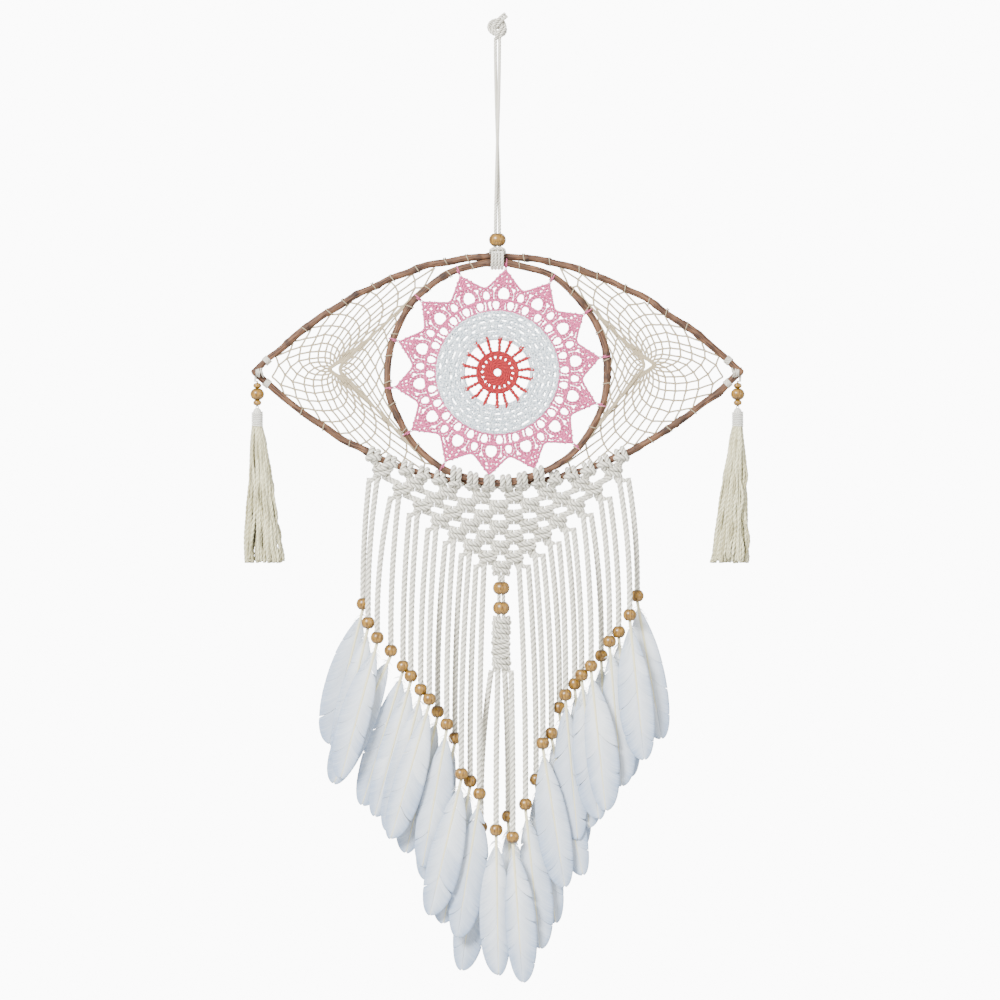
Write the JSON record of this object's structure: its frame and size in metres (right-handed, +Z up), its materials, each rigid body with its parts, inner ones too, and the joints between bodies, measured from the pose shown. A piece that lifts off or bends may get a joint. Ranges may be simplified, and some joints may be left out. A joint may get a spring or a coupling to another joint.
{
  "type": "dream catcher",
  "caption": "Eye-shaped dream catcher on a hanging cord: vine-stem frame with nets and a crocheted doily, macrame panel, and a fringe of cords with wooden beads and feathers.",
  "frame": {"origin": "the hanging point, between the two strands of the hanging cord just under the top knot", "axes": "+Z up along the hanging cord, +Y to the back (wall side), the decorated face looks along -Y, +X to the right seen from the front"},
  "size_m": [0.38, 0.03, 0.7222],
  "materials": {
    "cotton_cord": "twisted matte cotton cord",
    "bead_wood": "turned and lightly varnished light wood",
    "vine": "peeled vine stem, dull brown with darker knots",
    "net_thread": "waxed tan thread",
    "red_yarn": "soft crocheted yarn",
    "pale_yarn": "pale blue-white slightly fluffy yarn",
    "pink_yarn": "soft crocheted yarn with darker flecks",
    "tassel_silk": "silky cream threads",
    "feather": "white goose feather, soft sheen"
  },
  "bodies": {
    "hanger": {"hanging_cord": "cotton_cord", "hanging_knot": "cotton_cord"},
    "hanging_bead_body": {"hanging_bead": "bead_wood"},
    "hitch": {"cord_hitch": "cotton_cord"},
    "eye": {"upper_rib": "vine", "lower_rib": "vine", "inner_hoop": "vine", "left_tip_lashing": "net_thread", "right_tip_lashing": "net_thread", "left_web": "net_thread", "right_web": "net_thread", "doily_centre": "red_yarn", "doily_ring": "pale_yarn", "doily_border": "pink_yarn", "doily_ties": "pale_yarn", "larks_heads": "cotton_cord", "macrame_panel": "cotton_cord"},
    "sennit": {"sennit_upper_bead": "bead_wood", "sennit_lower_bead": "bead_wood", "sennit_braid": "cotton_cord"},
    "left_tassel_beads": {"left_tassel_cord": "net_thread", "left_tassel_upper_bead": "bead_wood", "left_tassel_round_bead": "bead_wood", "left_tassel_lower_bead": "bead_wood"},
    "left_tassel": {"left_tassel_binding": "tassel_silk", "left_tassel_skirt": "tassel_silk"},
    "right_tassel_beads": {"right_tassel_cord": "net_thread", "right_tassel_upper_bead": "bead_wood", "right_tassel_round_bead": "bead_wood", "right_tassel_lower_bead": "bead_wood"},
    "right_tassel": {"right_tassel_binding": "tassel_silk", "right_tassel_skirt": "tassel_silk"},
    "drop_1": {"drop_1_cords": "cotton_cord", "drop_1_beads": "bead_wood", "drop_1_feathers": "feather"},
    "drop_2": {"drop_2_cords": "cotton_cord", "drop_2_beads": "bead_wood", "drop_2_feathers": "feather"},
    "drop_3": {"drop_3_cords": "cotton_cord", "drop_3_beads": "bead_wood", "drop_3_feathers": "feather"},
    "drop_4": {"drop_4_cords": "cotton_cord", "drop_4_beads": "bead_wood", "drop_4_feathers": "feather"},
    "drop_5": {"drop_5_cords": "cotton_cord", "drop_5_beads": "bead_wood", "drop_5_feathers": "feather"},
    "drop_6": {"drop_6_cords": "cotton_cord", "drop_6_beads": "bead_wood", "drop_6_feathers": "feather"},
    "drop_7": {"drop_7_cords": "cotton_cord", "drop_7_beads": "bead_wood", "drop_7_feathers": "feather"},
    "drop_8": {"drop_8_cords": "cotton_cord", "drop_8_beads": "bead_wood", "drop_8_feathers": "feather"}
  },
  "joints": [
    {"name": "bead_slide", "type": "slide", "parent": "hanger", "child": "hanging_bead_body", "axis": [0, 0, 1], "range_m": [0, 0.11]},
    {"name": "hitch_turn", "type": "hinge", "parent": "hanger", "child": "hitch", "pos_m": [0, 0, -0.156], "axis": [0, 0, 1], "range_deg": [-180, 180]},
    {"name": "eye_tilt", "type": "hinge", "parent": "hitch", "child": "eye", "pos_m": [0, 0.00122, -0.16585], "axis": [1, 0, 0], "range_deg": [-15, 15]},
    {"name": "left_tassel_sway", "type": "hinge", "parent": "eye", "child": "left_tassel_beads", "pos_m": [-0.18, 0.00256, -0.2567], "axis": [0, 1, 0], "range_deg": [-20, 20]},
    {"name": "left_tassel_swing", "type": "hinge", "parent": "left_tassel_beads", "child": "left_tassel", "pos_m": [-0.18, 0.00256, -0.2762], "axis": [1, 0, 0], "range_deg": [-25, 25]},
    {"name": "right_tassel_sway", "type": "hinge", "parent": "eye", "child": "right_tassel_beads", "pos_m": [0.18, 0.00256, -0.2567], "axis": [0, 1, 0], "range_deg": [-20, 20]},
    {"name": "right_tassel_swing", "type": "hinge", "parent": "right_tassel_beads", "child": "right_tassel", "pos_m": [0.18, 0.00256, -0.2762], "axis": [1, 0, 0], "range_deg": [-25, 25]},
    {"name": "drop_1_swing", "type": "hinge", "parent": "eye", "child": "drop_1", "pos_m": [0, 0.00512, -0.3296], "axis": [1, 0, 0], "range_deg": [-12, 12]},
    {"name": "drop_2_swing", "type": "hinge", "parent": "eye", "child": "drop_2", "pos_m": [0, 0.00512, -0.3434], "axis": [1, 0, 0], "range_deg": [-13.09, 13.09]},
    {"name": "drop_3_swing", "type": "hinge", "parent": "eye", "child": "drop_3", "pos_m": [0, 0.00512, -0.3558], "axis": [1, 0, 0], "range_deg": [-14.11, 14.11]},
    {"name": "drop_4_swing", "type": "hinge", "parent": "eye", "child": "drop_4", "pos_m": [0, 0.00512, -0.3668], "axis": [1, 0, 0], "range_deg": [-15.01, 15.01]},
    {"name": "drop_5_swing", "type": "hinge", "parent": "eye", "child": "drop_5", "pos_m": [0, 0.00512, -0.3769], "axis": [1, 0, 0], "range_deg": [-15.91, 15.91]},
    {"name": "drop_6_swing", "type": "hinge", "parent": "eye", "child": "drop_6", "pos_m": [0, 0.00512, -0.386], "axis": [1, 0, 0], "range_deg": [-16.63, 16.63]},
    {"name": "drop_7_swing", "type": "hinge", "parent": "eye", "child": "drop_7", "pos_m": [0, 0.00512, -0.3945], "axis": [1, 0, 0], "range_deg": [-17.29, 17.29]},
    {"name": "sennit_swing", "type": "hinge", "parent": "eye", "child": "sennit", "pos_m": [0.0028, 0.00512, -0.4023], "axis": [1, 0, 0], "range_deg": [-13.81, 13.81]},
    {"name": "drop_8_swing", "type": "hinge", "parent": "sennit", "child": "drop_8", "pos_m": [0.0028, 0.00512, -0.474], "axis": [1, 0, 0], "range_deg": [-5.77, 5.77]}
  ],
  "couplings": [
    {"joint": "drop_2_swing", "follows": "drop_1_swing", "ratio": 1.09},
    {"joint": "drop_3_swing", "follows": "drop_1_swing", "ratio": 1.175},
    {"joint": "drop_4_swing", "follows": "drop_1_swing", "ratio": 1.25},
    {"joint": "drop_5_swing", "follows": "drop_1_swing", "ratio": 1.325},
    {"joint": "drop_6_swing", "follows": "drop_1_swing", "ratio": 1.385},
    {"joint": "drop_7_swing", "follows": "drop_1_swing", "ratio": 1.44},
    {"joint": "sennit_swing", "follows": "drop_1_swing", "ratio": 1.15},
    {"joint": "drop_8_swing", "follows": "drop_1_swing", "ratio": 0.48}
  ]
}
